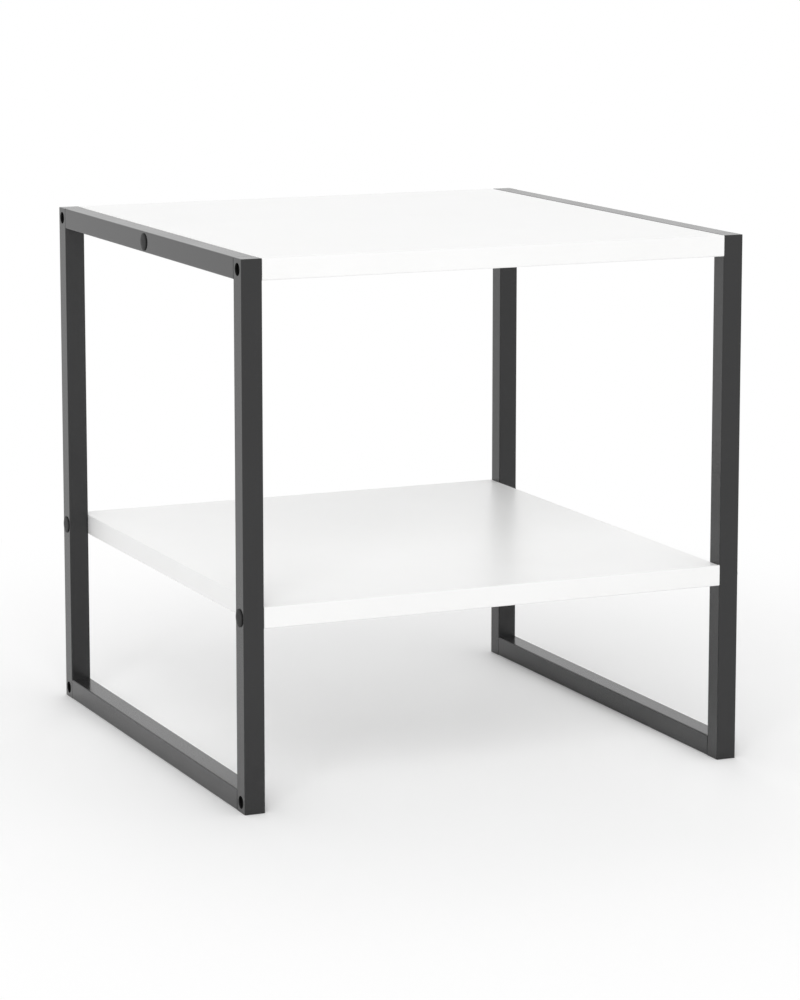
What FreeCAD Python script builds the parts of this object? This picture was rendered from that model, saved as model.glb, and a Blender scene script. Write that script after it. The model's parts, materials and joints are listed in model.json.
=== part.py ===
import FreeCAD, Part
import Sketcher
import os

# End table with a shelf. Two side frames of square steel tube carry a white top board and a white shelf.
# Millimetres: +X runs from the left frame to the right one, +Y to the back and +Z up.
# The origin is on the floor under the middle of the table.
# One quarter of the table is drawn, and mirror images in its middle planes make the rest.

SIZES = [
    # the whole table
    ("table_width", 406, "across the outer faces of the two side frames"),
    ("table_depth", 406, "from the front to the rear of the uprights"),
    ("table_height", 406, "from the floor to the top board's upper face"),
    ("shelf_underside", 137, "from the floor to the shelf's lower face"),
    # square tube
    ("tube_side", 16, "outer side of the square tube"),
    ("tube_wall", 1, "wall of the tube"),
    ("tube_corner_radius", 1, "rounding along the tube's long edges"),
    ("tube_end_radius", 0.4, "rounding of the cut ends of the uprights"),
    ("end_plate_thickness", 1.5, "plate that closes an end of an upright"),
    # clearances, each all round
    ("press_gap", 0.05, "round a piece that is pressed into its bore"),
    ("thread_gap", 0.05, "between two threads, which are drawn as plain cylinders"),
    ("hole_gap", 0.2, "round a stud, bolt or pin in a drilled hole"),
    # corner joint
    ("corner_block_length", 20, "block inside the end of an upright"),
    ("rail_plug_length", 20, "plug inside the end of a rail"),
    ("stud_diameter", 5, "stud that ties a rail to an upright"),
    ("stud_seat", 16, "length of the stud in the rail plug"),
    ("stud_reach", 4, "length of the stud past the middle of the upright"),
    ("dimple_depth", 0.6, "depth to which the grub screw's tip enters the stud"),
    ("grub_diameter", 6, "grub screw"),
    ("grub_length", 4, "grub screw with its cone tip"),
    ("grub_tip_diameter", 2, "flat end of the cone tip"),
    ("grub_socket", 3, "hexagon socket, across its flats"),
    ("grub_socket_depth", 1.5, "depth of that socket"),
    ("access_hole_diameter", 9.5, "open hole that lets the hexagon key in"),
    ("access_depth", 1, "depth of the same hole in the corner block"),
    # boards
    ("board_thickness", 16, "top board and shelf"),
    ("edge_band_thickness", 1.5, "band glued to each edge of a board"),
    ("edge_band_radius", 1, "rounding of a band's long outer edges"),
    # bolts and insert nuts
    ("bolt_diameter", 6, "bolt that ties a board to a frame"),
    ("bolt_length", 14, "bolt under its head"),
    ("bolt_head_diameter", 10, "bolt head"),
    ("bolt_head_height", 4, "bolt head"),
    ("bolt_socket", 4, "hexagon socket, across its flats"),
    ("bolt_socket_depth", 2.2, "depth of that socket"),
    ("head_passage", 1, "room round the bolt head in the hole that it goes in by"),
    ("insert_wall", 1, "wall of the insert nut"),
    ("insert_length", 15, "insert nut in the end of a board"),
    ("bore_relief", 2, "depth of a bore past what it holds"),
    # cap plugs
    ("cap_lip", 0.75, "overlap of a cap plug on the tube, round its hole"),
    ("cap_thickness", 0.5, "head of a cap plug, proud of the tube"),
    ("cap_rim_radius", 0.1, "rounding of that head's rim"),
    ("cap_stem_length", 4, "stem of a cap plug"),
    ("cap_stem_wall", 1.2, "wall of the hollow stem"),
    # locating pins of the top board
    ("pin_diameter", 5, "locating pin"),
    ("pin_in_board", 14, "length of the pin in the board"),
    ("pin_in_rail", 6, "length of the pin in the top rail"),
    ("pin_end_distance", 45, "from the end of the rail to the pin"),
]

X = FreeCAD.Vector(1, 0, 0)
Y = FreeCAD.Vector(0, 1, 0)
Z = FreeCAD.Vector(0, 0, 1)

# An edge this near to a plane counts as lying in it
IN_PLANE = 0.001

# Turns for a shape that is drawn along +Z
TURN = {
    "+x": FreeCAD.Rotation(Y, 90),
    "-x": FreeCAD.Rotation(Y, -90),
    "+y": FreeCAD.Rotation(X, -90),
    "+z": FreeCAD.Rotation(),
}

# Places and sizes that several pieces share, as expressions on the sheet
FRAME_X = "(sizes.table_width - sizes.tube_side) / 2"
UPRIGHT_Y = "(sizes.table_depth - sizes.tube_side) / 2"
BOARD_HALF = "(sizes.table_width / 2 - sizes.tube_side)"
RAIL_HALF = "(sizes.table_depth / 2 - sizes.tube_side)"
LOW_RAIL_Z = "sizes.tube_side / 2"
TOP_RAIL_Z = "(sizes.table_height - sizes.tube_side / 2)"
TOP_UNDERSIDE = "(sizes.table_height - sizes.board_thickness)"
SHELF_BOLT_Z = "(sizes.shelf_underside + sizes.board_thickness / 2)"
BORE_HALF = "(sizes.tube_side / 2 - sizes.tube_wall)"
PRESS_HALF = f"({BORE_HALF} - sizes.press_gap)"
PIN_Y = f"({RAIL_HALF} - sizes.pin_end_distance)"
STUD_HOLE = "sizes.stud_diameter + 2 * sizes.hole_gap"
BOLT_HOLE = "sizes.bolt_diameter + 2 * sizes.hole_gap"
PIN_HOLE = "sizes.pin_diameter + 2 * sizes.hole_gap"
CAP_HOLE = "(sizes.bolt_head_diameter + 2 * sizes.head_passage)"
INSERT_DIAMETER = "(sizes.bolt_diameter + 2 * sizes.thread_gap + 2 * sizes.insert_wall)"

doc = FreeCAD.newDocument("end_table")
sizes = doc.addObject("Spreadsheet::Sheet", "sizes")
for row, (alias, size, meaning) in enumerate(SIZES, start=1):
    sizes.set(f"A{row}", meaning)
    sizes.set(f"B{row}", str(size))
    sizes.setAlias(f"B{row}", alias)
doc.recompute()

nodes = []


def value(expression):
    """The number that an expression on the sheet comes to."""
    return float(sizes.evalExpression(expression))


def node(piece):
    """Counts a finished piece among those that are written out."""
    nodes.append(piece)
    return piece


# Blocks, rods and booleans


def box(name, x, y, z):
    """A block between two places on each axis, given as pairs of expressions."""
    block = doc.addObject("Part::Box", name)
    for side, letter, (low, high) in (("Length", "x", x), ("Width", "y", y), ("Height", "z", z)):
        block.setExpression(side, f"({high}) - ({low})")
        block.setExpression(f"Placement.Base.{letter}", low)
    return block


def stand(shape, direction, x, y, z):
    """Turns a shape that is drawn along +Z, and puts its foot at a place."""
    shape.Placement = FreeCAD.Placement(FreeCAD.Vector(), TURN[direction])
    for letter, place in zip("xyz", (x, y, z)):
        shape.setExpression(f"Placement.Base.{letter}", place)
    return shape


def rod(name, diameter, length, direction, x, y, z):
    """A round bar or bore from its foot along a direction."""
    cylinder = doc.addObject("Part::Cylinder", name)
    cylinder.setExpression("Radius", f"({diameter}) / 2")
    cylinder.setExpression("Height", length)
    return stand(cylinder, direction, x, y, z)


def cone(name, foot_diameter, end_diameter, length, direction, x, y, z):
    """A cone cut off at both ends, from its foot along a direction."""
    taper = doc.addObject("Part::Cone", name)
    taper.setExpression("Radius1", f"({foot_diameter}) / 2")
    taper.setExpression("Radius2", f"({end_diameter}) / 2")
    taper.setExpression("Height", length)
    return stand(taper, direction, x, y, z)


def hexagon(name, flats, depth, direction, x, y, z):
    """A hexagon socket from its mouth along a direction."""
    prism = doc.addObject("Part::Prism", name)
    prism.Polygon = 6
    prism.setExpression("Circumradius", f"{flats} / sqrt(3)")
    prism.setExpression("Height", depth)
    return stand(prism, direction, x, y, z)


def fuse(name, parts):
    union = doc.addObject("Part::MultiFuse", name)
    union.Shapes = parts
    return union


def group(name, parts):
    """Separate solids kept together."""
    compound = doc.addObject("Part::Compound", name)
    compound.Links = parts
    return compound


def cut(name, base, tool):
    difference = doc.addObject("Part::Cut", name)
    difference.Base = base
    difference.Tool = tool
    return difference


def image(name, source, across):
    """The mirror image of a piece in the table's middle plane across an axis."""
    mirror = doc.addObject("Part::Mirroring", name)
    mirror.Source = source
    mirror.Normal = across
    mirror.setExpression("Base.z", "sizes.table_height / 2")
    return mirror


# Sketches and features of the tubes and cap plugs


def sketch_on(body, role, name):
    """A sketch on one of a body's own origin planes."""
    sketch = body.newObject("Sketcher::SketchObject", name)
    plane = next(feature for feature in body.Origin.OriginFeatures if feature.Role == role)
    sketch.AttachmentSupport = [(plane, "")]
    sketch.MapMode = "FlatFace"
    return sketch


def dimension(sketch, name, expression, kind, *where):
    """A dimension of a sketch, bound to the sheet."""
    index = sketch.addConstraint(Sketcher.Constraint(kind, *where, value(expression)))
    sketch.renameConstraint(index, name)
    sketch.setExpression(f"Constraints.{name}", expression)


def draw_square(sketch, side):
    """A square about the sketch's origin."""
    half = value(side) / 2
    corners = [FreeCAD.Vector(x * half, y * half, 0) for x, y in ((-1, -1), (1, -1), (1, 1), (-1, 1))]
    for n in range(4):
        sketch.addGeometry(Part.LineSegment(corners[n], corners[(n + 1) % 4]))
    for n in range(4):
        sketch.addConstraint(Sketcher.Constraint("Coincident", n, 2, (n + 1) % 4, 1))
        sketch.addConstraint(Sketcher.Constraint("Vertical" if n % 2 else "Horizontal", n))
    sketch.addConstraint(Sketcher.Constraint("Symmetric", 0, 1, 2, 1, -1, 1))
    dimension(sketch, "width", side, "DistanceX", 0, 1, 0, 2)
    dimension(sketch, "height", side, "DistanceY", 1, 1, 1, 2)


def draw_circle(sketch, diameter):
    """A circle about the sketch's origin."""
    circle = sketch.addGeometry(Part.Circle(FreeCAD.Vector(), Z, value(diameter) / 2))
    sketch.addConstraint(Sketcher.Constraint("Coincident", circle, 3, -1, 1))
    dimension(sketch, "diameter", diameter, "Diameter", circle)


def extrude(body, kind, name, sketch, length, backwards=False):
    """A pad or a pocket of a sketch."""
    feature = body.newObject(f"PartDesign::{kind}", name)
    feature.Profile = sketch
    feature.Reversed = backwards
    feature.setExpression("Length", length)
    doc.recompute()
    return feature


def round_edges(body, name, base, chosen, radius):
    """A fillet on the chosen edges of a body's feature."""
    edges = [f"Edge{n}" for n, edge in enumerate(base.Shape.Edges, start=1) if chosen(edge)]
    fillet = body.newObject("PartDesign::Fillet", name)
    fillet.Base = (base, edges)
    fillet.setExpression("Radius", radius)
    doc.recompute()
    return fillet


def stands_upright(edge):
    return edge.BoundBox.XLength + edge.BoundBox.YLength < edge.BoundBox.ZLength


def lies_flat(edge):
    return edge.BoundBox.XLength + edge.BoundBox.YLength > edge.BoundBox.ZLength


def is_raised(edge):
    return edge.BoundBox.ZMin > IN_PLANE


def tube(name, length, rounded_ends=False):
    """A square tube along its own +Z, with its outer wall towards -X."""
    body = doc.addObject("PartDesign::Body", name)
    outline = sketch_on(body, "XY_Plane", f"{name}_outline")
    draw_square(outline, "sizes.tube_side")
    bar = extrude(body, "Pad", f"{name}_bar", outline, length)
    corners = round_edges(body, f"{name}_corners", bar, stands_upright, "sizes.tube_corner_radius")
    if rounded_ends:
        round_edges(body, f"{name}_ends", corners, lies_flat, "sizes.tube_end_radius")
    bore = sketch_on(body, "XY_Plane", f"{name}_bore_outline")
    draw_square(bore, f"2 * {BORE_HALF}")
    extrude(body, "Pocket", f"{name}_bore", bore, length, backwards=True)
    return body


def drill(body, name, plane, backwards, holes):
    """Round holes through one wall of a tube: pairs of a place along the tube and a diameter."""
    marks = sketch_on(body, plane, f"{name}_marks")
    for n, (along, diameter) in enumerate(holes):
        centre = FreeCAD.Vector(0, value(along), 0)
        circle = marks.addGeometry(Part.Circle(centre, Z, value(diameter) / 2))
        marks.addConstraint(Sketcher.Constraint("PointOnObject", circle, 3, -2))
        dimension(marks, f"along_{n}", along, "DistanceY", -1, 1, circle, 3)
        dimension(marks, f"diameter_{n}", diameter, "Diameter", circle)
    before = body.Shape.Volume
    extrude(body, "Pocket", name, marks, "sizes.tube_side", backwards)
    if body.Shape.Volume >= before:
        raise RuntimeError(f"{name} removes nothing")


# Side frames


def upright():
    """The left front upright: access holes at both rails, and the shelf bolt's two holes."""
    body = tube("left_front_upright", "sizes.table_height", rounded_ends=True)
    access_hole = "sizes.access_hole_diameter"
    access = [(LOW_RAIL_Z, access_hole), (TOP_RAIL_Z, access_hole)]
    drill(body, "upright_outer_holes", "YZ_Plane", False, access + [(SHELF_BOLT_Z, CAP_HOLE)])
    drill(body, "upright_inner_hole", "YZ_Plane", True, [(SHELF_BOLT_Z, BOLT_HOLE)])
    studs = [(LOW_RAIL_Z, STUD_HOLE), (TOP_RAIL_Z, STUD_HOLE)]
    drill(body, "upright_stud_holes", "XZ_Plane", False, studs)
    return stand(body, "+z", f"-{FRAME_X}", f"-{UPRIGHT_Y}", "0")


def rail(name, z):
    """A rail of the left frame, between the uprights."""
    body = tube(name, f"2 * {RAIL_HALF}")
    return stand(body, "+y", f"-{FRAME_X}", f"-{RAIL_HALF}", z)


def top_rail():
    """The left top rail: the top bolt's two holes at its middle, and a hole for each locating pin."""
    body = rail("left_top_rail", TOP_RAIL_Z)
    pins = [(f"{RAIL_HALF} - {PIN_Y}", PIN_HOLE), (f"{RAIL_HALF} + {PIN_Y}", PIN_HOLE)]
    drill(body, "rail_outer_hole", "YZ_Plane", False, [(RAIL_HALF, CAP_HOLE)])
    drill(body, "rail_inner_holes", "YZ_Plane", True, [(RAIL_HALF, BOLT_HOLE)] + pins)
    return body


def side_frames():
    """The uprights and rails of both frames."""
    front = node(upright())
    rear = node(image("left_rear_upright", front, Y))
    top = node(top_rail())
    bottom = node(rail("left_bottom_rail", LOW_RAIL_Z))
    node(image("right_front_upright", front, X))
    node(image("right_rear_upright", rear, X))
    node(image("right_top_rail", top, X))
    node(image("right_bottom_rail", bottom, X))


# Corner joints, drawn at the left front bottom corner

IN_TUBE_X = (f"-{FRAME_X} - {PRESS_HALF}", f"-{FRAME_X} + {PRESS_HALF}")
IN_UPRIGHT_Y = (f"-{UPRIGHT_Y} - {PRESS_HALF}", f"-{UPRIGHT_Y} + {PRESS_HALF}")
IN_LOW_RAIL_Z = (f"{LOW_RAIL_Z} - {PRESS_HALF}", f"{LOW_RAIL_Z} + {PRESS_HALF}")
BLOCK_OUTER_X = IN_TUBE_X[0]
GRUB_TIP = "(sizes.stud_diameter / 2 - sizes.dimple_depth)"
GRUB_TAPER = "((sizes.grub_diameter - sizes.grub_tip_diameter) / 2)"


def end_plate():
    """Plate that closes the upright's end, flush with it."""
    height = ("0", "sizes.end_plate_thickness")
    return box("left_front_bottom_end_plate", IN_TUBE_X, IN_UPRIGHT_Y, height)


def corner_block():
    """Block in the upright's end, bored for the stud from the rail and the grub screw from outside."""
    height = ("sizes.end_plate_thickness", "sizes.end_plate_thickness + sizes.corner_block_length")
    block = box("corner_block_body", IN_TUBE_X, IN_UPRIGHT_Y, height)
    stud_foot = f"-{UPRIGHT_Y} - sizes.stud_reach - sizes.hole_gap"
    stud_bore = rod(
        "corner_block_stud_bore",
        STUD_HOLE,
        "sizes.tube_side",
        "+y",
        f"-{FRAME_X}",
        stud_foot,
        LOW_RAIL_Z,
    )
    thread = rod(
        "corner_block_thread",
        "sizes.grub_diameter + 2 * sizes.thread_gap",
        PRESS_HALF,
        "+x",
        BLOCK_OUTER_X,
        f"-{UPRIGHT_Y}",
        LOW_RAIL_Z,
    )
    mouth = rod(
        "corner_block_mouth",
        "sizes.access_hole_diameter",
        "sizes.access_depth",
        "+x",
        BLOCK_OUTER_X,
        f"-{UPRIGHT_Y}",
        LOW_RAIL_Z,
    )
    bores = fuse("corner_block_bores", [stud_bore, thread, mouth])
    return cut("left_front_bottom_corner_block", block, bores)


def rail_plug():
    """Plug in the rail's end, bored right through for the stud."""
    length = (f"-{RAIL_HALF}", f"-{RAIL_HALF} + sizes.rail_plug_length")
    plug = box("rail_plug_body", IN_TUBE_X, length, IN_LOW_RAIL_Z)
    bore = rod(
        "rail_plug_bore",
        "sizes.stud_diameter + 2 * sizes.thread_gap",
        "sizes.rail_plug_length",
        "+y",
        f"-{FRAME_X}",
        length[0],
        LOW_RAIL_Z,
    )
    return cut("left_front_bottom_rail_plug", plug, bore)


def stud():
    """Stud from the rail plug to past the middle of the upright, with a dimple for the grub screw."""
    foot = f"-{UPRIGHT_Y} - sizes.stud_reach"
    length = "sizes.stud_reach + sizes.tube_side / 2 + sizes.stud_seat"
    bar = rod("stud_bar", "sizes.stud_diameter", length, "+y", f"-{FRAME_X}", foot, LOW_RAIL_Z)
    dimple = cone(
        "stud_dimple",
        "sizes.grub_tip_diameter + 2 * sizes.thread_gap",
        "sizes.grub_diameter + 2 * sizes.thread_gap",
        GRUB_TAPER,
        "-x",
        f"-{FRAME_X} - {GRUB_TIP} + sizes.thread_gap",
        f"-{UPRIGHT_Y}",
        LOW_RAIL_Z,
    )
    return cut("stud", bar, dimple)


def grub_screw():
    """Grub screw with a cone tip in the stud's dimple and a hexagon socket towards the access hole."""
    tip_x = f"-{FRAME_X} - {GRUB_TIP}"
    thread_x = f"{tip_x} - {GRUB_TAPER}"
    thread_length = f"sizes.grub_length - {GRUB_TAPER}"
    end_x = f"{tip_x} - sizes.grub_length"
    across = (f"-{UPRIGHT_Y}", LOW_RAIL_Z)
    tip_end = "sizes.grub_tip_diameter"
    wide = "sizes.grub_diameter"
    tip = cone("grub_tip", tip_end, wide, GRUB_TAPER, "-x", tip_x, *across)
    thread = rod("grub_thread", wide, thread_length, "-x", thread_x, *across)
    socket = hexagon("grub_socket", "sizes.grub_socket", "sizes.grub_socket_depth", "+x", end_x, *across)
    return cut("grub_screw", fuse("grub_body", [tip, thread]), socket)


def corner_nodes(piece, drawn):
    """The drawn left front bottom piece and its seven mirror images, each a node."""
    made = [("left_front_bottom", drawn)]
    for word, other, axis in (("front", "rear", Y), ("bottom", "top", Z), ("left", "right", X)):
        for corner, source in list(made):
            name = corner.replace(word, other)
            made.append((name, image(f"{name}_{piece}", source, axis)))
    for _, item in made:
        node(item)


def frame_fasteners(piece, drawn):
    """A fastener at the four corners of each frame, one node for each frame."""
    rear = image(f"{piece}_rear", drawn, Y)
    low = group(f"{piece}_low_pair", [drawn, rear])
    high = image(f"{piece}_high_pair", low, Z)
    left = node(group(f"left_frame_{piece}s", [low, high]))
    node(image(f"right_frame_{piece}s", left, X))


def corner_joints():
    corner_nodes("end_plate", end_plate())
    corner_nodes("corner_block", corner_block())
    corner_nodes("rail_plug", rail_plug())
    frame_fasteners("stud", stud())
    frame_fasteners("grub_screw", grub_screw())


# Boards and what ties them to the frames


def bolt(name, y, z):
    """Bolt from inside the left frame's tube into the end of a board."""
    seat = f"-{FRAME_X} + {BORE_HALF}"
    head_end = f"{seat} - sizes.bolt_head_height"
    height = "sizes.bolt_head_height"
    depth = "sizes.bolt_socket_depth"
    head = rod(f"{name}_head", "sizes.bolt_head_diameter", height, "+x", head_end, y, z)
    shank = rod(f"{name}_shank", "sizes.bolt_diameter", "sizes.bolt_length", "+x", seat, y, z)
    socket = hexagon(f"{name}_socket", "sizes.bolt_socket", depth, "+x", head_end, y, z)
    return cut(name, fuse(f"{name}_body", [head, shank]), socket)


def insert_nut(name, y, z):
    """Insert nut in the left end of a board, flush with it."""
    thread = "sizes.bolt_diameter + 2 * sizes.thread_gap"
    sleeve = rod(f"{name}_sleeve", INSERT_DIAMETER, "sizes.insert_length", "+x", f"-{BOARD_HALF}", y, z)
    bore = rod(f"{name}_thread", thread, "sizes.insert_length", "+x", f"-{BOARD_HALF}", y, z)
    return cut(name, sleeve, bore)


def insert_bore(name, y, z):
    """Bore in the left end of a board, deep enough for the insert nut and the bolt."""
    depth = "max(sizes.insert_length; sizes.bolt_length - sizes.tube_wall) + sizes.bore_relief"
    diameter = f"{INSERT_DIAMETER} + 2 * sizes.press_gap"
    return rod(name, diameter, depth, "+x", f"-{BOARD_HALF}", y, z)


def locating_pin(name, y):
    """Pin from the end of the top board into the left top rail."""
    foot = f"-{BOARD_HALF} - sizes.pin_in_rail"
    length = "sizes.pin_in_rail + sizes.pin_in_board"
    return rod(name, "sizes.pin_diameter", length, "+x", foot, y, TOP_RAIL_Z)


def pin_bore(name, y):
    """Bore for a locating pin in the left end of the top board."""
    diameter = "sizes.pin_diameter + 2 * sizes.press_gap"
    depth = "sizes.pin_in_board + sizes.bore_relief"
    return rod(name, diameter, depth, "+x", f"-{BOARD_HALF}", y, TOP_RAIL_Z)


def rounded(name, block, chosen):
    """A block with the chosen edges rounded as a band's long outer edges are."""
    doc.recompute()
    radius = value("sizes.edge_band_radius")
    fillet = doc.addObject("Part::Fillet", name)
    fillet.Base = block
    numbered = enumerate(block.Shape.Edges, start=1)
    fillet.Edges = [(n, radius, radius) for n, edge in numbered if chosen(edge)]
    return fillet


def board(name, underside, left_bores):
    """A board's core and its four edge bands, bored at both ends: five nodes."""
    height = (underside, f"{underside} + sizes.board_thickness")
    core_x = f"({BOARD_HALF} - sizes.edge_band_thickness)"
    core_y = "(sizes.table_depth / 2 - sizes.edge_band_thickness)"
    front = "sizes.table_depth / 2"
    core = box(f"{name}_core", (f"-{core_x}", core_x), (f"-{core_y}", core_y), height)
    bores = group(f"{name}_bores", [left_bores, image(f"{name}_right_bores", left_bores, X)])
    node(cut(f"{name}_board", core, bores))

    whole_width = (f"-{BOARD_HALF}", BOARD_HALF)
    front_strip = box(f"{name}_front_strip", whole_width, (f"-{front}", f"-{core_y}"), height)
    front_y = -value(front)
    front_band = node(
        rounded(
            f"{name}_front_edge_band",
            front_strip,
            lambda edge: edge.BoundBox.YMax <= front_y + IN_PLANE and lies_flat(edge),
        )
    )
    node(image(f"{name}_rear_edge_band", front_band, Y))

    left_edge = (f"-{BOARD_HALF}", f"-{core_x}")
    left_strip = box(f"{name}_left_strip", left_edge, (f"-{core_y}", core_y), height)
    end_x = -value(BOARD_HALF)
    left_strip_rounded = rounded(
        f"{name}_left_strip_rounded",
        left_strip,
        lambda edge: edge.BoundBox.XMax <= end_x + IN_PLANE and lies_flat(edge),
    )
    left_band = node(cut(f"{name}_left_edge_band", left_strip_rounded, left_bores))
    node(image(f"{name}_right_edge_band", left_band, X))


def both_sides(name, left_parts):
    """Left fasteners and their mirror images at the right, as one node."""
    left = group(f"{name}_left", left_parts)
    node(group(name, [left, image(f"{name}_right", left, X)]))


def front_and_rear(name, make, *place):
    """A fastener at the front and its mirror image at the rear."""
    front = make(f"{name}_front", *place)
    return [front, image(f"{name}_rear", front, Y)]


def top_board():
    middle = ("0", TOP_RAIL_Z)
    pin_bores = front_and_rear("top_pin_bore", pin_bore, f"-{PIN_Y}")
    bores = group("top_left_bores", [insert_bore("top_insert_bore", *middle)] + pin_bores)
    board("top", TOP_UNDERSIDE, bores)
    both_sides("top_bolts", [bolt("top_bolt", *middle)])
    both_sides("top_insert_nuts", [insert_nut("top_insert_nut", *middle)])
    both_sides("top_locating_pins", front_and_rear("locating_pin", locating_pin, f"-{PIN_Y}"))


def shelf():
    front = (f"-{UPRIGHT_Y}", SHELF_BOLT_Z)
    bores = group("shelf_left_bores", front_and_rear("shelf_bore", insert_bore, *front))
    board("shelf", "sizes.shelf_underside", bores)
    both_sides("shelf_bolts", front_and_rear("shelf_bolt", bolt, *front))
    both_sides("shelf_insert_nuts", front_and_rear("shelf_insert_nut", insert_nut, *front))


# Cap plugs over the bolts


def cap_plug(name, y, z):
    """Plug with a low round head on the left frame's outer face and a hollow stem in the bolt's hole."""
    stem_diameter = f"({CAP_HOLE} - 2 * sizes.press_gap)"
    body = doc.addObject("PartDesign::Body", name)
    disc = sketch_on(body, "XY_Plane", f"{name}_disc")
    draw_circle(disc, f"{CAP_HOLE} + 2 * sizes.cap_lip")
    head = extrude(body, "Pad", f"{name}_head", disc, "sizes.cap_thickness")
    round_edges(body, f"{name}_rim", head, is_raised, "sizes.cap_rim_radius")
    ring = sketch_on(body, "XY_Plane", f"{name}_ring")
    draw_circle(ring, stem_diameter)
    extrude(body, "Pad", f"{name}_stem", ring, "sizes.cap_stem_length", backwards=True)
    hollow = sketch_on(body, "XY_Plane", f"{name}_hollow_outline")
    draw_circle(hollow, f"{stem_diameter} - 2 * sizes.cap_stem_wall")
    before = body.Shape.Volume
    extrude(body, "Pocket", f"{name}_hollow", hollow, "sizes.cap_stem_length")
    if body.Shape.Volume >= before:
        raise RuntimeError(f"{name}'s stem isn't hollow")
    return stand(body, "-x", "-sizes.table_width / 2", y, z)


def cap_plugs():
    middle = node(cap_plug("left_top_cap_plug", "0", TOP_RAIL_Z))
    front = node(cap_plug("left_front_cap_plug", f"-{UPRIGHT_Y}", SHELF_BOLT_Z))
    rear = node(image("left_rear_cap_plug", front, Y))
    node(image("right_top_cap_plug", middle, X))
    node(image("right_front_cap_plug", front, X))
    node(image("right_rear_cap_plug", rear, X))


def check():
    """Stops if an object failed or a piece isn't a sound solid."""
    for item in doc.Objects:
        if {"Invalid", "Error"} & set(item.State):
            raise RuntimeError(f"{item.Label} failed: {item.State}")
    for piece in nodes:
        shape = piece.Shape
        if shape.isNull() or not shape.isValid() or not shape.Solids or shape.Volume <= 0:
            raise RuntimeError(f"{piece.Label} isn't a sound solid")


def write():
    """Writes each piece to a file that has its name."""
    os.makedirs("parts", exist_ok=True)
    for piece in nodes:
        piece.Shape.exportStep(f"parts/{piece.Label}.step")
    solids = sum(len(piece.Shape.Solids) for piece in nodes)
    print(f"{len(nodes)} nodes, {solids} solids")


side_frames()
corner_joints()
top_board()
shelf()
cap_plugs()
doc.recompute()
check()
write()
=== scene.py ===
import json
import math

import bpy
from mathutils import Euler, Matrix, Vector


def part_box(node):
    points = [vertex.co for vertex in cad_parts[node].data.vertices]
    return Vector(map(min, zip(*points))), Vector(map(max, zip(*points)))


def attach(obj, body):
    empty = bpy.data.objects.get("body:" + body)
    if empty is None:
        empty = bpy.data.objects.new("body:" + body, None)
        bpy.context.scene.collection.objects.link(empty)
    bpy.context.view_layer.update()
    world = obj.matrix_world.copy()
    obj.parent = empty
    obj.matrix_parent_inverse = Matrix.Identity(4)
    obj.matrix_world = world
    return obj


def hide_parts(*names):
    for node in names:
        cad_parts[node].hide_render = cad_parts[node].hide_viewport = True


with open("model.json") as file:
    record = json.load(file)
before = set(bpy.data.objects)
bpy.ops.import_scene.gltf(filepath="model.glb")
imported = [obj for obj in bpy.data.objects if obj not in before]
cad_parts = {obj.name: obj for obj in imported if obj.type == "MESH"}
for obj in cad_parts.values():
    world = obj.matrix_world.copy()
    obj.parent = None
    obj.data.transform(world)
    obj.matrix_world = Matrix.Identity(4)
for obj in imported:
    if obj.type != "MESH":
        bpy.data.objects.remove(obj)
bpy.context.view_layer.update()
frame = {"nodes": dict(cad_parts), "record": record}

# End table with a shelf: black side frames of square tube carry a white top and a white shelf.
# Metres: +X runs from the left frame to the right one, +Y to the back and +Z up.

MM = 0.001
MICRON = 0.000001
WHITE = (1.0, 1.0, 1.0, 1.0)

# Noise patterns: their finer layers, how strong those are, and the part of the drift that changes the tone
RELIEF_DETAIL = 2.0
RELIEF_FINENESS = 0.4
SHEEN_DETAIL = 1.0
DRIFT_DETAIL = 3.0
DRIFT_FINENESS = 0.55
DRIFT_SPAN = (0.3, 0.7)

# Frame paint: a smooth black powder coat with a faint orange peel
PAINT_TONES = ((0.0172, 0.0172, 0.0176, 1.0), (0.0194, 0.0194, 0.0199, 1.0))
PAINT_ROUGHNESS = (0.17, 0.24)
PAINT_SPECULAR = 0.43
PEEL_SIZE = 1.8 * MM
PEEL_DEPTH = 45 * MICRON
PAINT_PATCH = 60 * MM

# Boards: white melamine film with a fine pearl press
MELAMINE_TONES = ((0.905, 0.905, 0.900, 1.0), (0.922, 0.922, 0.918, 1.0))
MELAMINE_ROUGHNESS = (0.29, 0.36)
PEARL_SIZE = 0.7 * MM
PEARL_DEPTH = 30 * MICRON
BOARD_PATCH = 90 * MM

# Edge bands: white strip, scraped lengthwise, with a hairline of glue along the board
BAND_TONES = ((0.906, 0.906, 0.900, 1.0), (0.926, 0.926, 0.922, 1.0))
BAND_ROUGHNESS = (0.32, 0.40)
SCRAPE_SIZE = 0.4 * MM
SCRAPE_STRETCH = 0.02
SCRAPE_PATCH = 3 * MM
SCRAPE_DEPTH = 12 * MICRON
GLUE_TONE = (0.52, 0.51, 0.48, 1.0)
GLUE_WIDTH = 0.05 * MM

# Cap plugs, rail plugs and corner blocks: black plastic from a spark-eroded mould
PLASTIC_TONES = ((0.0040, 0.0040, 0.0041, 1.0), (0.0054, 0.0054, 0.0055, 1.0))
PLASTIC_ROUGHNESS = (0.29, 0.36)
PLASTIC_SPECULAR = 0.065
SPARK_SIZE = 0.3 * MM
SPARK_DEPTH = 60 * MICRON
PLASTIC_PATCH = 12 * MM

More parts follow.
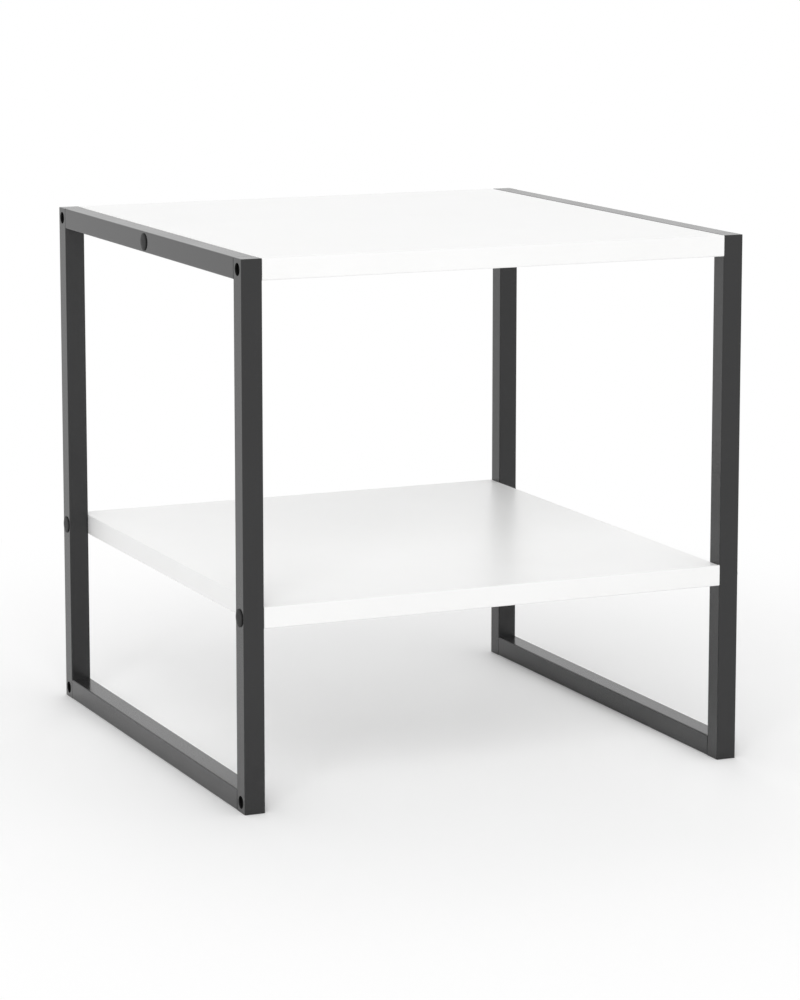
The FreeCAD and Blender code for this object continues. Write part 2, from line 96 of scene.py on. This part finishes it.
# Hidden hardware: zinc-plated bolts, nuts, pins and studs, and blackened grub screws
ZINC_TONES = ((0.55, 0.56, 0.58, 1.0), (0.66, 0.66, 0.65, 1.0))
ZINC_ROUGHNESS = (0.30, 0.42)
ZINC_GRAIN = 0.5 * MM
ZINC_DEPTH = 6 * MICRON
OXIDE_TONES = ((0.016, 0.016, 0.017, 1.0), (0.026, 0.026, 0.025, 1.0))
OXIDE_ROUGHNESS = (0.38, 0.52)
OXIDE_GRAIN = 0.4 * MM
OXIDE_DEPTH = 6 * MICRON
HARDWARE_PATCH = 5 * MM

# Cap plug shape: crown and rim of the head, the hollow stem, and how finely all of it is turned
CAP_CROWN = 0.05 * MM
CAP_RIM_RADIUS = 0.08 * MM
CAP_STEM_RADIUS = 5.98 * MM
CAP_STEM_WALL = 1.2 * MM
CAP_SIDES = 36
CAP_RIM_STEPS = 2
CAP_CROWN_CUTS = 1
SHARP_ANGLE = math.radians(40)

# Stage: even white light, two soft lamps, and a white floor that keeps the table's shadow near it
AMBIENT = 0.76
FRONT_LAMP_PLACE = (-1.379, -2.389, 2.355)
FRONT_LAMP_POWER = 34.5
BACK_LAMP_PLACE = (1.085, 2.981, 1.679)
BACK_LAMP_POWER = 24.0
LAMP_TARGET = (0, 0, 0.2)
LAMP_SIZE = 1.8
FLOOR_COLOUR = (0.97, 0.97, 0.97, 1.0)
FLOOR_ROUGHNESS = 1.0
FLOOR_SPECULAR = 0.0
FLOOR_HALF_SIDE = 12.0
SHADOW_REACH = (0.30, 0.85)

# Camera, where the photograph was taken from: metres, degrees, pixels, and millimetres for the sensor
CAMERA_PLACE = (-1.1008, -2.5042, 0.6906)
CAMERA_TURN = 23.907
CAMERA_TILT = 8.875
CAMERA_LEVEL = 90.0
FRAME_HEIGHT_PX = 1000
FOCAL_PX = 3507.0
SENSOR = 36.0
CAMERA_SHIFT = (0.0009, -0.10)

# Sockets of a Mix node that mixes colours
MIX_FACTOR, MIX_FIRST, MIX_SECOND, MIX_RESULT = 0, 6, 7, 2


# Node helpers

def add(tree, kind, feeds=None, **settings):
    """A new node: settings are its properties, and feeds its inputs, each a value or a socket to link."""
    node = tree.nodes.new(kind)
    for name, value in settings.items():
        setattr(node, name, value)
    for name, value in (feeds or {}).items():
        if isinstance(value, bpy.types.NodeSocket):
            tree.links.new(value, node.inputs[name])
        else:
            node.inputs[name].default_value = value
    return node


def reckon(tree, operation, *values):
    """The result of a Math node on values or sockets."""
    return add(tree, "ShaderNodeMath", dict(enumerate(values)), operation=operation).outputs[0]


def spread(tree, mask, low, high, start=0.0, end=1.0):
    """A mask's run from start to end, spread over low to high and held there beyond."""
    feeds = {"Value": mask, "From Min": start, "From Max": end, "To Min": low, "To Max": high}
    return add(tree, "ShaderNodeMapRange", feeds).outputs["Result"]


def mix_tones(tree, mask, first, second):
    """Two colours mixed by a mask: the first where it is 0, the second where it is 1."""
    feeds = {MIX_FACTOR: mask, MIX_FIRST: first, MIX_SECOND: second}
    return add(tree, "ShaderNodeMix", feeds, data_type="RGBA").outputs[MIX_RESULT]


def new_tree(name, kind, takes, gives):
    """A node group with named sockets, and the sockets of its two ends."""
    tree = bpy.data.node_groups.new(name, kind)
    for label, socket in takes.items():
        tree.interface.new_socket(label, in_out="INPUT", socket_type="NodeSocket" + socket)
    for label, socket in gives.items():
        tree.interface.new_socket(label, in_out="OUTPUT", socket_type="NodeSocket" + socket)
    return tree, tree.nodes.new("NodeGroupInput").outputs, tree.nodes.new("NodeGroupOutput").inputs


# Effects that several finishes share

def fine_relief():
    """Small bumps of a coat, film or moulding: their height, and patches of sharper and duller sheen."""
    takes = {"Position": "Vector", "Size": "Float", "Patch": "Float"}
    gives = {"Height": "Float", "Sheen": "Float"}
    tree, given, result = new_tree("fine_relief", "ShaderNodeTree", takes, gives)
    place = given["Position"]
    fine = reckon(tree, "DIVIDE", 1.0, given["Size"])
    feeds = {"Vector": place, "Scale": fine, "Detail": RELIEF_DETAIL, "Roughness": RELIEF_FINENESS}
    bumps = add(tree, "ShaderNodeTexNoise", feeds)
    broad = reckon(tree, "DIVIDE", 1.0, given["Patch"])
    feeds = {"Vector": place, "Scale": broad, "Detail": SHEEN_DETAIL}
    patches = add(tree, "ShaderNodeTexNoise", feeds)
    tree.links.new(bumps.outputs["Fac"], result["Height"])
    tree.links.new(patches.outputs["Fac"], result["Sheen"])
    return tree


def tone_drift():
    """A finish's colour, drifting softly between two tones from place to place."""
    takes = {"Position": "Vector", "Patch": "Float", "Deep": "Color", "Pale": "Color"}
    tree, given, result = new_tree("tone_drift", "ShaderNodeTree", takes, {"Colour": "Color"})
    place = given["Position"]
    broad = reckon(tree, "DIVIDE", 1.0, given["Patch"])
    feeds = {"Vector": place, "Scale": broad, "Detail": DRIFT_DETAIL, "Roughness": DRIFT_FINENESS}
    patches = add(tree, "ShaderNodeTexNoise", feeds)
    mask = spread(tree, patches.outputs["Fac"], 0.0, 1.0, *DRIFT_SPAN)
    tree.links.new(mix_tones(tree, mask, given["Deep"], given["Pale"]), result["Colour"])
    return tree


def glue_line():
    """The hairline where edge bands meet a board, from half the width and depth of its bare core."""
    takes = {"Position": "Vector", "Half Width": "Float", "Half Depth": "Float", "Line Width": "Float"}
    tree, given, result = new_tree("glue_line", "ShaderNodeTree", takes, {"Mask": "Float"})
    axes = add(tree, "ShaderNodeSeparateXYZ", {"Vector": given["Position"]}).outputs
    across = reckon(tree, "ABSOLUTE", axes["X"])
    along = reckon(tree, "ABSOLUTE", axes["Y"])
    off_end = reckon(tree, "ABSOLUTE", reckon(tree, "SUBTRACT", across, given["Half Width"]))
    off_front = reckon(tree, "ABSOLUTE", reckon(tree, "SUBTRACT", along, given["Half Depth"]))
    # The end bands stop at the front and rear bands, and so does their line
    past_front = reckon(tree, "GREATER_THAN", along, given["Half Depth"])
    near = reckon(tree, "MINIMUM", reckon(tree, "ADD", off_end, past_front), off_front)
    tree.links.new(spread(tree, near, 1.0, 0.0, 0.0, given["Line Width"]), result["Mask"])
    return tree


RELIEF = fine_relief()
DRIFT = tone_drift()
GLUE = glue_line()


# Finishes

def new_finish(name):
    """A new material, its tree, its shader and the place on the table that it is read at."""
    made = bpy.data.materials.new(name)
    made.use_nodes = True
    tree = made.node_tree
    return made, tree, tree.nodes["Principled BSDF"], add(tree, "ShaderNodeTexCoord").outputs["Object"]


def drifting(tree, place, patch, tones):
    """The colour of a finish, between its two tones."""
    feeds = {"Position": place, "Patch": patch, "Deep": tones[0], "Pale": tones[1]}
    return add(tree, "ShaderNodeGroup", feeds, node_tree=DRIFT).outputs["Colour"]


def grained(tree, shader, place, size, depth, patch, roughness):
    """Gives a shader its bumps, and a roughness that drifts between two values."""
    feeds = {"Position": place, "Size": size, "Patch": patch}
    relief = add(tree, "ShaderNodeGroup", feeds, node_tree=RELIEF).outputs
    bump = add(tree, "ShaderNodeBump", {"Height": relief["Height"], "Distance": depth})
    tree.links.new(bump.outputs["Normal"], shader.inputs["Normal"])
    tree.links.new(spread(tree, relief["Sheen"], *roughness), shader.inputs["Roughness"])


def glued(tree, place, colour):
    """A white with the glue's hairline at the joints between board and bands."""
    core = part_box("top_board")[1]
    feeds = {"Position": place, "Half Width": core[0], "Half Depth": core[1], "Line Width": GLUE_WIDTH}
    mask = add(tree, "ShaderNodeGroup", feeds, node_tree=GLUE).outputs["Mask"]
    return mix_tones(tree, mask, colour, GLUE_TONE)


def black_powder_coat():
    """Paint of the tubes and their end plates."""
    made, tree, shader, place = new_finish("black_powder_coat")
    shader.inputs["Specular IOR Level"].default_value = PAINT_SPECULAR
    tree.links.new(drifting(tree, place, PAINT_PATCH, PAINT_TONES), shader.inputs["Base Color"])
    grained(tree, shader, place, PEEL_SIZE, PEEL_DEPTH, PAINT_PATCH, PAINT_ROUGHNESS)
    return made


def white_melamine():
    """Film on the faces of the top board and the shelf."""
    made, tree, shader, place = new_finish("white_melamine")
    colour = drifting(tree, place, BOARD_PATCH, MELAMINE_TONES)
    tree.links.new(glued(tree, place, colour), shader.inputs["Base Color"])
    grained(tree, shader, place, PEARL_SIZE, PEARL_DEPTH, BOARD_PATCH, MELAMINE_ROUGHNESS)
    return made


def white_edge_band(name, stretch):
    """Edge band whose scraper marks run along the strip."""
    made, tree, shader, place = new_finish(name)
    colour = drifting(tree, place, BOARD_PATCH, BAND_TONES)
    tree.links.new(glued(tree, place, colour), shader.inputs["Base Color"])
    streaks = add(tree, "ShaderNodeMapping", {"Vector": place, "Scale": stretch}).outputs["Vector"]
    grained(tree, shader, streaks, SCRAPE_SIZE, SCRAPE_DEPTH, SCRAPE_PATCH, BAND_ROUGHNESS)
    return made


def black_moulded_plastic():
    """Plastic of the cap plugs, and of the plugs and blocks inside the tubes."""
    made, tree, shader, place = new_finish("black_moulded_plastic")
    shader.inputs["Specular IOR Level"].default_value = PLASTIC_SPECULAR
    tree.links.new(drifting(tree, place, PLASTIC_PATCH, PLASTIC_TONES), shader.inputs["Base Color"])
    grained(tree, shader, place, SPARK_SIZE, SPARK_DEPTH, PLASTIC_PATCH, PLASTIC_ROUGHNESS)
    return made


def steel(name, tones, size, depth, roughness):
    """Zinc-plated or blackened steel of the hidden hardware."""
    made, tree, shader, place = new_finish(name)
    shader.inputs["Metallic"].default_value = 1.0
    tree.links.new(drifting(tree, place, HARDWARE_PATCH, tones), shader.inputs["Base Color"])
    grained(tree, shader, place, size, depth, HARDWARE_PATCH, roughness)
    return made


finishes = {
    "frame_paint": black_powder_coat(),
    "white_board": white_melamine(),
    "white_edge_band": white_edge_band("white_edge_band", (SCRAPE_STRETCH, 1.0, 1.0)),
    "black_plastic": black_moulded_plastic(),
    "zinc_steel": steel("zinc_plated_steel", ZINC_TONES, ZINC_GRAIN, ZINC_DEPTH, ZINC_ROUGHNESS),
    "black_steel": steel("black_oxide_steel", OXIDE_TONES, OXIDE_GRAIN, OXIDE_DEPTH, OXIDE_ROUGHNESS),
}
end_band_finish = white_edge_band("white_end_band", (1.0, SCRAPE_STRETCH, 1.0))


def dress_frame():
    """Gives every piece of the frame its finish."""
    for part in frame["record"]["subparts"]:
        name = part["node"]
        on_end = name.endswith(("left_edge_band", "right_edge_band"))
        slots = frame["nodes"][name].data.materials
        slots.clear()
        slots.append(end_band_finish if on_end else finishes[part["material_slot"]])


# Cap plugs

def cap_plug_tree():
    """Turns a cap plug from its half section and sets one on each point, along its outward direction."""
    sizes = ("Head Radius", "Head Height", "Crown", "Rim Radius", "Stem Radius", "Stem Wall", "Stem Length")
    takes = {"Geometry": "Geometry", **dict.fromkeys(sizes, "Float"), "Sides": "Int", "Finish": "Material"}
    tree, given, result = new_tree("cap_plugs", "GeometryNodeTree", takes, {"Geometry": "Geometry"})
    rim, top, stem = given["Head Radius"], given["Head Height"], given["Stem Radius"]
    bore = reckon(tree, "SUBTRACT", stem, given["Stem Wall"])
    bottom = reckon(tree, "MULTIPLY", given["Stem Length"], -1.0)

    # Half section, as radius and height: from the middle of the head, round the stem, to the bore's middle
    section = (
        (0.0, top),
        (rim, top),
        (rim, 0.0),
        (stem, 0.0),
        (stem, bottom),
        (bore, bottom),
        (bore, 0.0),
        (0.0, 0.0),
    )
    corner = add(tree, "GeometryNodeIndexSwitch", data_type="VECTOR")
    while len(corner.index_switch_items) < len(section):
        corner.index_switch_items.new()
    tree.links.new(add(tree, "GeometryNodeInputIndex").outputs[0], corner.inputs["Index"])
    # The sweep measures a section from the circle that it follows, with heights turned over
    for number, (radius, height) in enumerate(section, start=1):
        inset = reckon(tree, "SUBTRACT", radius, rim)
        depth = reckon(tree, "MULTIPLY", height, -1.0)
        turned = add(tree, "ShaderNodeCombineXYZ", {"X": inset, "Y": depth})
        tree.links.new(turned.outputs[0], corner.inputs[number])
    points = add(tree, "GeometryNodePoints", {"Count": len(section), "Position": corner.outputs[0]})
    line = add(tree, "GeometryNodePointsToCurves", {"Points": points.outputs[0]})
    feeds = {"Curve": line.outputs[0], "Count": CAP_RIM_STEPS, "Radius": given["Rim Radius"]}
    eased = add(tree, "GeometryNodeFilletCurve", {**feeds, "Limit Radius": True}, mode="POLY")
    dense = add(tree, "GeometryNodeSubdivideCurve", {"Curve": eased.outputs[0], "Cuts": CAP_CROWN_CUTS})
    circle = add(tree, "GeometryNodeCurvePrimitiveCircle", {"Resolution": given["Sides"], "Radius": rim})
    feeds = {"Curve": circle.outputs["Curve"], "Profile Curve": dense.outputs[0]}
    turning = add(tree, "GeometryNodeCurveToMesh", feeds)
    closed = add(tree, "GeometryNodeMergeByDistance", {"Geometry": turning.outputs[0], "Distance": MICRON})

    # Crown: what stands out of the tube drops with the square of its distance from the middle
    position = add(tree, "GeometryNodeInputPosition").outputs[0]
    axes = add(tree, "ShaderNodeSeparateXYZ", {"Vector": position}).outputs
    across = reckon(tree, "POWER", axes["X"], 2.0)
    along = reckon(tree, "POWER", axes["Y"], 2.0)
    share = reckon(tree, "DIVIDE", reckon(tree, "ADD", across, along), reckon(tree, "POWER", rim, 2.0))
    drop = reckon(tree, "MULTIPLY", reckon(tree, "MULTIPLY", share, given["Crown"]), -1.0)
    fall = add(tree, "ShaderNodeCombineXYZ", {"Z": drop})
    raised = reckon(tree, "GREATER_THAN", axes["Z"], MICRON)
    feeds = {"Geometry": closed.outputs[0], "Selection": raised, "Offset": fall.outputs[0]}
    crowned = add(tree, "GeometryNodeSetPosition", feeds)

    # One plug on each point
    outward = add(tree, "GeometryNodeInputNamedAttribute", {"Name": "outward"}, data_type="FLOAT_VECTOR")
    aim = add(tree, "FunctionNodeAlignRotationToVector", {"Vector": outward.outputs[0]}, axis="Z")
    feeds = {"Points": given["Geometry"], "Instance": crowned.outputs[0], "Rotation": aim.outputs[0]}
    placed = add(tree, "GeometryNodeInstanceOnPoints", feeds)
    solid = add(tree, "GeometryNodeRealizeInstances", {"Geometry": placed.outputs[0]})
    smooth = add(tree, "GeometryNodeSetShadeSmooth", {"Geometry": solid.outputs[0]})
    feeds = {"Geometry": smooth.outputs[0], "Material": given["Finish"]}
    dressed = add(tree, "GeometryNodeSetMaterial", feeds)
    tree.links.new(dressed.outputs[0], result["Geometry"])
    return tree


def grow(name, places, directions, tree, sizes):
    """A plain mesh piece, made by a geometry tree on points that each have an outward direction."""
    mesh = bpy.data.meshes.new(name + "_places")
    mesh.from_pydata(places, [], [])
    mesh.attributes.new("outward", "FLOAT_VECTOR", "POINT")
    for point, direction in zip(mesh.attributes["outward"].data, directions):
        point.vector = direction
    worker = bpy.data.objects.new(name + "_places", mesh)
    bpy.context.scene.collection.objects.link(worker)
    maker = worker.modifiers.new(name, "NODES")
    maker.node_group = tree
    for item in tree.interface.items_tree:
        if item.name in sizes:
            maker[item.identifier] = sizes[item.name]
    shape = bpy.data.meshes.new_from_object(worker.evaluated_get(bpy.context.evaluated_depsgraph_get()))
    bpy.data.objects.remove(worker)
    shape.name = name
    shape.set_sharp_from_angle(angle=SHARP_ANGLE)
    piece = bpy.data.objects.new(name, shape)
    bpy.context.scene.collection.objects.link(piece)
    return piece


def outer_face(side):
    """X of a side frame's outer face."""
    low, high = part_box(side + "_top_rail")
    return low[0] if side == "left" else high[0]


def set_cap_plugs():
    """Six turned cap plugs, in the holes that their solids stand in."""
    solids = []
    places = []
    directions = []
    for side, outward in (("left", -1.0), ("right", 1.0)):
        for where in ("top", "front", "rear"):
            solids.append(f"{side}_{where}_cap_plug")
            low, high = map(Vector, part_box(solids[-1]))
            middle = (low + high) / 2
            places.append((outer_face(side), middle.y, middle.z))
            directions.append((outward, 0.0, 0.0))
    low, high = map(Vector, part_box("right_top_cap_plug"))
    sizes = {
        "Head Radius": (high.z - low.z) / 2,
        "Head Height": high.x - outer_face("right"),
        "Crown": CAP_CROWN,
        "Rim Radius": CAP_RIM_RADIUS,
        "Stem Radius": CAP_STEM_RADIUS,
        "Stem Wall": CAP_STEM_WALL,
        "Stem Length": outer_face("right") - low.x,
        "Sides": CAP_SIDES,
        "Finish": finishes["black_plastic"],
    }
    plugs = grow("cap_plugs", places, directions, cap_plug_tree(), sizes)
    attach(plugs, "root")
    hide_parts(*solids)


# Stage

def seen_directly(tree):
    """1 for what the camera, a reflection or a see-through surface sees, and 0 for light on its way."""
    path = add(tree, "ShaderNodeLightPath").outputs
    either = reckon(tree, "MAXIMUM", path["Is Camera Ray"], path["Is Glossy Ray"])
    return reckon(tree, "MAXIMUM", either, path["Is Transmission Ray"])


def light_world():
    """Even light from all round, plain white to the eye."""
    world = bpy.data.worlds.new("studio")
    bpy.context.scene.world = world
    world.use_nodes = True
    tree = world.node_tree
    background = tree.nodes["Background"]
    background.inputs["Color"].default_value = WHITE
    tree.links.new(spread(tree, seen_directly(tree), AMBIENT, 1.0), background.inputs["Strength"])


def hang_lamp(name, place, power, mirrored):
    """A soft lamp that faces the table; mirrored says whether glossy surfaces show it."""
    data = bpy.data.lights.new(name, "AREA")
    data.shape = "SQUARE"
    data.size = LAMP_SIZE
    data.energy = power
    lamp = bpy.data.objects.new(name, data)
    lamp.visible_glossy = mirrored
    lamp.location = place
    lamp.rotation_euler = (Vector(LAMP_TARGET) - lamp.location).to_track_quat("-Z", "Y").to_euler()
    bpy.context.scene.collection.objects.link(lamp)


def floor_finish():
    """White floor: matt near the table, where its shadow falls, and plain white to the eye further out."""
    made, tree, shader, place = new_finish("white_floor")
    shader.inputs["Base Color"].default_value = FLOOR_COLOUR
    shader.inputs["Roughness"].default_value = FLOOR_ROUGHNESS
    shader.inputs["Specular IOR Level"].default_value = FLOOR_SPECULAR
    reach = add(tree, "ShaderNodeVectorMath", {0: place}, operation="LENGTH").outputs["Value"]
    near, far = SHADOW_REACH
    feeds = {"Value": reach, "From Min": near, "From Max": far}
    ring = add(tree, "ShaderNodeMapRange", feeds, interpolation_type="SMOOTHSTEP")
    share = reckon(tree, "MULTIPLY", ring.outputs["Result"], seen_directly(tree))
    white = add(tree, "ShaderNodeEmission", {"Color": WHITE, "Strength": 1.0})
    mixed = add(tree, "ShaderNodeMixShader", {0: share, 1: shader.outputs[0], 2: white.outputs[0]})
    tree.links.new(mixed.outputs[0], tree.nodes["Material Output"].inputs["Surface"])
    return made


def lay_floor():
    """A square of floor round the middle of the table, which belongs to the stage."""
    mesh = bpy.data.meshes.new("floor")
    signs = ((-1, -1), (1, -1), (1, 1), (-1, 1))
    corners = [(x * FLOOR_HALF_SIDE, y * FLOOR_HALF_SIDE, 0) for x, y in signs]
    mesh.from_pydata(corners, [], [(0, 1, 2, 3)])
    mesh.materials.append(floor_finish())
    floor = bpy.data.objects.new("floor", mesh)
    bpy.context.scene.collection.objects.link(floor)


def aim_camera():
    """A camera turned and tilted down to the table, with a small shift of the picture."""
    data = bpy.data.cameras.new("camera")
    data.sensor_width = SENSOR
    data.lens = FOCAL_PX / FRAME_HEIGHT_PX * SENSOR
    data.shift_x, data.shift_y = CAMERA_SHIFT
    camera = bpy.data.objects.new("camera", data)
    camera.location = CAMERA_PLACE
    tilt = math.radians(CAMERA_LEVEL - CAMERA_TILT)
    camera.rotation_euler = Euler((tilt, 0, math.radians(-CAMERA_TURN)))
    bpy.context.scene.collection.objects.link(camera)
    bpy.context.scene.camera = camera


dress_frame()
set_cap_plugs()
light_world()
hang_lamp("front_softbox", FRONT_LAMP_PLACE, FRONT_LAMP_POWER, mirrored=True)
hang_lamp("back_softbox", BACK_LAMP_PLACE, BACK_LAMP_POWER, mirrored=False)
lay_floor()
aim_camera()
bpy.context.scene.view_settings.view_transform = "Standard"
